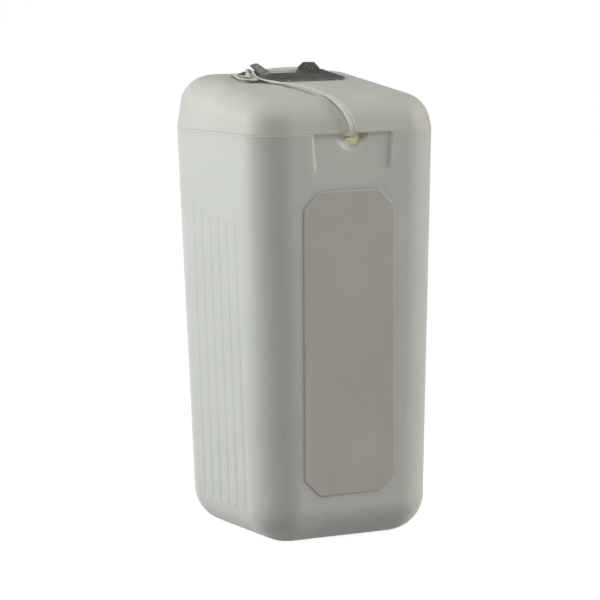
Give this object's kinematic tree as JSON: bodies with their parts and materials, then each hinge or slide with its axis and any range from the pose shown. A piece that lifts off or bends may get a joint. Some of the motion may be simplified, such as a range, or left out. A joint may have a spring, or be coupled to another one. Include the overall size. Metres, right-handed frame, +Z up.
{
  "type": "floss dispenser",
  "caption": "Tall milky plastic dental floss case with a hinged sloping cap, a steel thread cutter on the cap and a spool of flat floss turning on a post inside.",
  "frame": {"origin": "middle of the case's flat foot, on the surface it stands on", "axes": "+Z up along the case, -Y towards the label and the floss exit, +X to the right as seen from the front"},
  "size_m": [0.038, 0.0434, 0.0855],
  "materials": {
    "case_plastic": "satin, milky polypropylene",
    "cap_plastic": "satin, milky polypropylene",
    "cutter_steel": "dull, speckled",
    "hinge_steel": "drawn wire",
    "label_paper": "plain, smooth",
    "post_plastic": "satin",
    "spool_plastic": "satin",
    "floss": "waxed, pearly"
  },
  "bodies": {
    "case": {"body_shell": "case_plastic", "front_label": "label_paper", "hinge_pin": "hinge_steel", "spool_post": "post_plastic", "spool_retainer": "post_plastic", "floss_lead": "floss"},
    "lid": {"lid_shell": "cap_plastic", "cutter_plate": "cutter_steel", "floss_ribbon": "floss"},
    "spool": {"spool_core": "spool_plastic", "floss_winding": "floss"}
  },
  "joints": [
    {"name": "lid_hinge", "type": "hinge", "parent": "case", "child": "lid", "pos_m": [0, 0.02145, 0.0739], "axis": [-1, 0, 0], "range_deg": [0, 110]},
    {"name": "spool_spin", "type": "hinge", "parent": "case", "child": "spool", "pos_m": [0, 0, 0.007], "axis": [0, 0, 1], "continuous": true}
  ]
}
